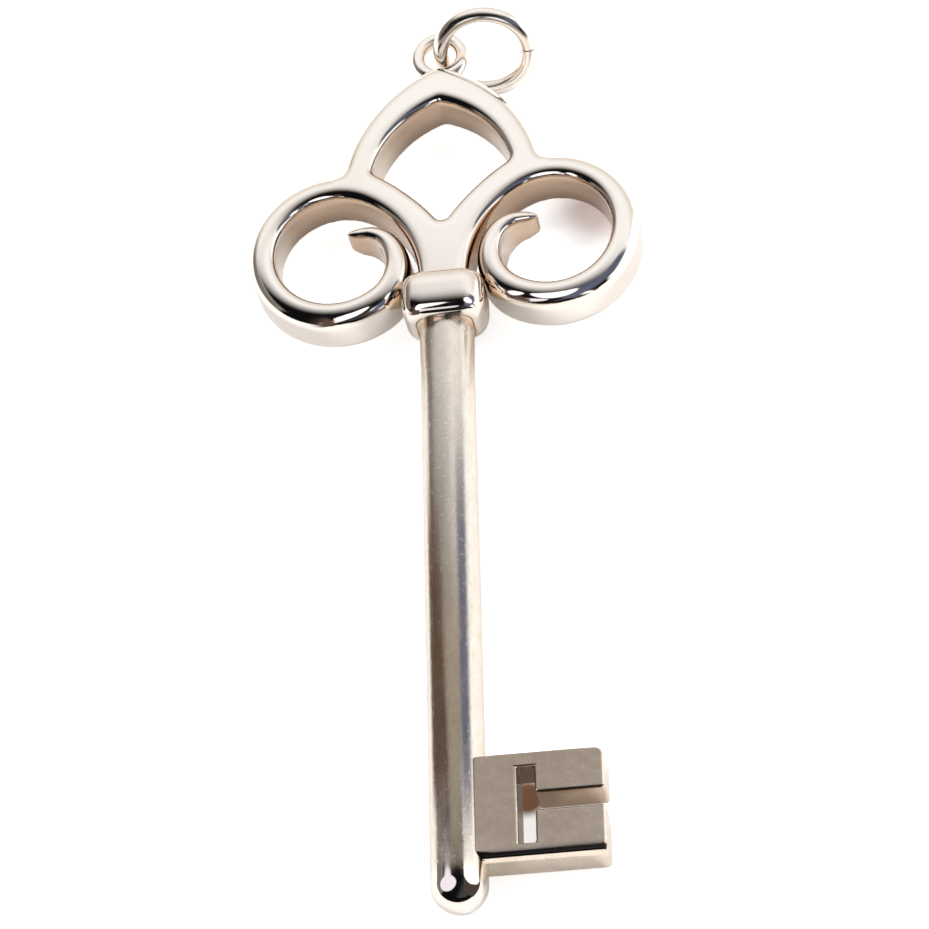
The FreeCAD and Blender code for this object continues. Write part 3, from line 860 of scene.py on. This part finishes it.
class KEY_OT_stage(bpy.types.Operator):
    """Set the white table, the studio round it, the lamps and the camera"""
    bl_idname = "key.stage"
    bl_label = "Table, studio and camera"

    def execute(self, context):
        self.table(context.scene.key_rod, context.scene.key_ring)
        self.studio(context.scene)
        self.cards()
        self.lamps()
        self.camera(context.scene)
        context.scene.view_settings.view_transform = "Standard"
        return {"FINISHED"}

    def table(self, rod, rings):
        """A white table that the tip and the chain ring touch, with painted shadows under the right
        scroll and under the bit.
        """
        deselect()
        bpy.ops.mesh.primitive_plane_add(size=3.0)
        table = bpy.context.object
        table.name = "Table"
        tip_rests, below = 2.0, 0.00001
        tip, ring = (tip_rests - HALF_LENGTH) * MM, (rings.loop_y - HALF_LENGTH) * MM
        rise = (LIFT - rod.shank_radius) * MM
        slope = math.atan2(rise, ring - tip)
        table.data.transform(Matrix.Translation((0, ring, -below)) @ Matrix.Rotation(-slope, 4, "X")
                             @ Matrix.Translation((0, -ring, 0)))
        material, shade = new_material("white table")
        camera = shade.node("ShaderNodeLightPath", output="Is Camera Ray")
        mirror = shade.node("ShaderNodeLightPath", output="Is Glossy Ray")
        mottle = shade.noise(90, detail=2)
        place = shade.node("ShaderNodeTexCoord", output="Object")
        colour = shade.mix(mottle * 0.3, (0.86, 0.855, 0.86), (0.83, 0.825, 0.83))
        glow = shade.mix(mottle * 0.1, (1.0, 1.0, 1.0), (0.98, 0.98, 1.0))
        # Painted shadows: darker round patches in the table's lit and glowing colour, under the right
        # scroll and under the bit's slot
        for spot, far, near, painted_shadow in (
                ((0.0102, 0.0194, 0), 0.0042, 0.0008, (0.44, 0.37, 0.35)),
                ((0.0042, -0.0250, 0.001), 0.0016, 0.0008, (0.17, 0.09, 0.05))):
            away = shade.node("ShaderNodeVectorMath", {"operation": "DISTANCE"},
                              {0: place, 1: spot}, output="Value")
            shaded = away.ramp(far, near)
            colour = shade.mix(shaded, colour, painted_shadow)
            glow = shade.mix(shaded, glow, painted_shadow)
        plain = shade.node("ShaderNodeBsdfDiffuse", None, {"Color": colour})
        white = shade.node("ShaderNodeEmission", None, {"Color": glow, "Strength": 0.68})
        pale = shade.node("ShaderNodeEmission", None, {"Color": (1, 0.97, 0.93, 1), "Strength": 0.16})
        seen = shade.node("ShaderNodeAddShader", None, {0: plain, 1: white})
        mirrored = shade.node("ShaderNodeAddShader", None, {0: plain, 1: pale})
        surface = shade.node("ShaderNodeMixShader", None, {"Fac": mirror, 1: plain, 2: mirrored})
        surface = shade.node("ShaderNodeMixShader", None, {"Fac": camera, 1: surface, 2: seen})
        shade.show(surface, "ShaderNodeOutputMaterial")
        table.data.materials.append(material)

    def studio(self, scene):
        """World: white to the camera, and a light tent with dark sides to the silver."""
        world = bpy.data.worlds.new("studio")
        scene.world = world
        world.use_nodes = True
        shade = Shade(world.node_tree)
        x, y, z = shade.parts("Generated")
        camera = shade.node("ShaderNodeLightPath", output="Is Camera Ray")
        mirror = shade.node("ShaderNodeLightPath", output="Is Glossy Ray")
        window = x.ramp(0.76, 0.84) * y.ramp(-0.62, -0.48)
        tent = shade.mix(y.ramp(0.35, -0.25), (1.02, 1.02, 1.04), (0.90, 0.86, 0.81))
        tent = shade.mix(z.ramp(0.78, 0.2) * 0.6, tent, (0.68, 0.60, 0.50))
        tent = shade.mix(x.ramp(-0.55, -0.86) * y.ramp(-0.6, -0.2) * z.ramp(0.8, 0.4) * 0.9, tent,
                         (0.13, 0.11, 0.10))
        tent = shade.mix(y.ramp(-0.26, -0.42), tent, (0.004, 0.004, 0.005))
        tent = shade.mix(window, tent, (1.15, 1.2, 1.25))
        plain = shade.node("ShaderNodeBackground", None, {"Color": (1, 0.98, 0.96, 1), "Strength": 0.55})
        seen = shade.node("ShaderNodeBackground", None, {"Color": tent, "Strength": 1.0})
        white = shade.node("ShaderNodeBackground", None, {"Color": (1, 1, 1, 1), "Strength": 1.0})
        surface = shade.node("ShaderNodeMixShader", None, {"Fac": mirror, 1: plain, 2: seen})
        surface = shade.node("ShaderNodeMixShader", None, {"Fac": camera, 1: surface, 2: white})
        shade.show(surface, "ShaderNodeOutputWorld")

    def cards(self):
        """Cards round the key that only its reflections show, placed in its own millimetres."""
        for name, place, aim, size, colour, others in CARDS:
            self.card(name, place, aim, size, colour, **others)

    def card(self, name, place, aim, size, colour, turn=0, fades=(0, 0, 0, 0), far_colour=None,
             oval=False):
        """A one-sided glowing plane that fades out over these shares of its size, at its low and
        high X and its low and high Y side; its colour may change halfway along X."""
        deselect()
        bpy.ops.mesh.primitive_plane_add(size=1)
        card = bpy.context.object
        card.name = name
        shift = Vector((0, -HALF_LENGTH, LIFT))
        place, aim = Vector(place) + shift, Vector(aim) + shift
        away = (place - aim).normalized()
        level = Vector((0, 1, 0)).cross(away).normalized()
        facing = Matrix((level, away.cross(level), away)).transposed().to_4x4()
        card.data.transform(Matrix.Scale(MM, 4) @ Matrix.Translation(place) @ facing
                            @ Matrix.Rotation(math.radians(turn), 4, "Z")
                            @ Matrix.Diagonal((*size, 1, 1)))
        material, shade = new_material(name)
        along, up, _ = shade.parts("UV")
        shown = shade.mix(along.ramp(0.45, 0.6), colour, far_colour or colour)
        glow = shade.node("ShaderNodeEmission", None, {"Color": shown, "Strength": 1.0})
        clear = shade.node("ShaderNodeBsdfTransparent")
        solid = shade.node("ShaderNodeNewGeometry", output="Backfacing")
        for share, inwards in zip(fades, (along, 1 - along, up, 1 - up)):
            if share:
                solid = solid * inwards.ramp(0, share)
        if oval:
            solid = solid * ((along - 0.5) ** 2 + (up - 0.5) ** 2).ramp(0.25, 0.2)
        shade.show(shade.node("ShaderNodeMixShader", None, {"Fac": solid, 1: clear, 2: glow}),
                   "ShaderNodeOutputMaterial")
        card.data.materials.append(material)
        card.visible_camera = card.visible_diffuse = card.visible_shadow = False
        card.visible_transmission = False

    def lamps(self):
        for name, place, size, power, colour in (
                ("Softbox right", (0.22, 0.20, 0.30), 0.16, 1.1, (1.0, 0.98, 0.96)),
                ("Softbox left", (-0.26, 0.06, 0.34), 0.12, 0.6, (0.96, 0.95, 1.0))):
            deselect()
            bpy.ops.object.light_add(type="AREA", location=place)
            lamp = bpy.context.object
            lamp.name = name
            lamp.data.size = size
            lamp.data.energy = power
            lamp.data.color = colour
            lamp.visible_glossy = False
            aim = Vector((0, 0, 0)) - Vector(place)
            lamp.rotation_mode = "QUATERNION"
            lamp.rotation_quaternion = aim.to_track_quat("-Z", "Y")

    def camera(self, scene):
        """The photograph's view, 60 degrees over the table and a little from the right."""
        azimuth, elevation, roll = math.radians(14.7436), math.radians(60.0), math.radians(-18.32)
        distance, focal_px, frame_px = 268.2044, 4032.497, 929
        target = Vector((0.949, 32.093 - HALF_LENGTH, -0.09 + LIFT))
        back = Vector((math.sin(azimuth) * math.cos(elevation),
                       -math.cos(azimuth) * math.cos(elevation), math.sin(elevation)))
        level = Vector((math.cos(azimuth), math.sin(azimuth), 0))
        rise = back.cross(level)
        right = level * math.cos(roll) + rise * math.sin(roll)
        up = rise * math.cos(roll) - level * math.sin(roll)
        deselect()
        bpy.ops.object.camera_add()
        camera = bpy.context.object
        camera.name = "Camera"
        turn = Matrix((right, up, back)).transposed()
        camera.rotation_mode = "QUATERNION"
        camera.rotation_quaternion = turn.to_quaternion()
        camera.location = (target + back * distance) * MM
        camera.data.sensor_width = 36
        camera.data.lens = focal_px / frame_px * 36
        camera.data.clip_start, camera.data.clip_end = 0.01, 20
        scene.camera = camera


class KEY_PT_panel(bpy.types.Panel):
    """Lists the key's pieces"""
    bl_idname = "KEY_PT_panel"
    bl_label = "Skeleton key"
    bl_space_type = "VIEW_3D"
    bl_region_type = "UI"
    bl_category = "Key"

    def draw(self, context):
        for operator in OPERATORS:
            self.layout.operator(operator.bl_idname)
        for group in ("key_bow", "key_ring", "key_rod", "key_finish"):
            sizes = getattr(context.scene, group)
            box = self.layout.box()
            for name in sizes.bl_rna.properties.keys():
                if name not in ("rna_type", "name"):
                    box.prop(sizes, name)


GROUPS = {"key_bow": BowSizes, "key_ring": RingSizes, "key_rod": RodSizes, "key_finish": Finish}
OPERATORS = (KEY_OT_bow, KEY_OT_collar, KEY_OT_shank, KEY_OT_bit, KEY_OT_rings, KEY_OT_stage)


def register():
    for group in GROUPS.values():
        bpy.utils.register_class(group)
    for operator in OPERATORS:
        bpy.utils.register_class(operator)
    bpy.utils.register_class(KEY_PT_panel)
    for name, group in GROUPS.items():
        setattr(bpy.types.Scene, name, bpy.props.PointerProperty(type=group))


def unregister():
    for name in GROUPS:
        delattr(bpy.types.Scene, name)
    bpy.utils.unregister_class(KEY_PT_panel)
    for operator in reversed(OPERATORS):
        bpy.utils.unregister_class(operator)
    for group in reversed(list(GROUPS.values())):
        bpy.utils.unregister_class(group)


def main():
    register()
    bpy.ops.key.bow()
    bpy.ops.key.collar()
    bpy.ops.key.shank()
    bpy.ops.key.bit()
    bpy.ops.key.rings()
    bpy.ops.key.stage()


if __name__ == "__main__":
    main()
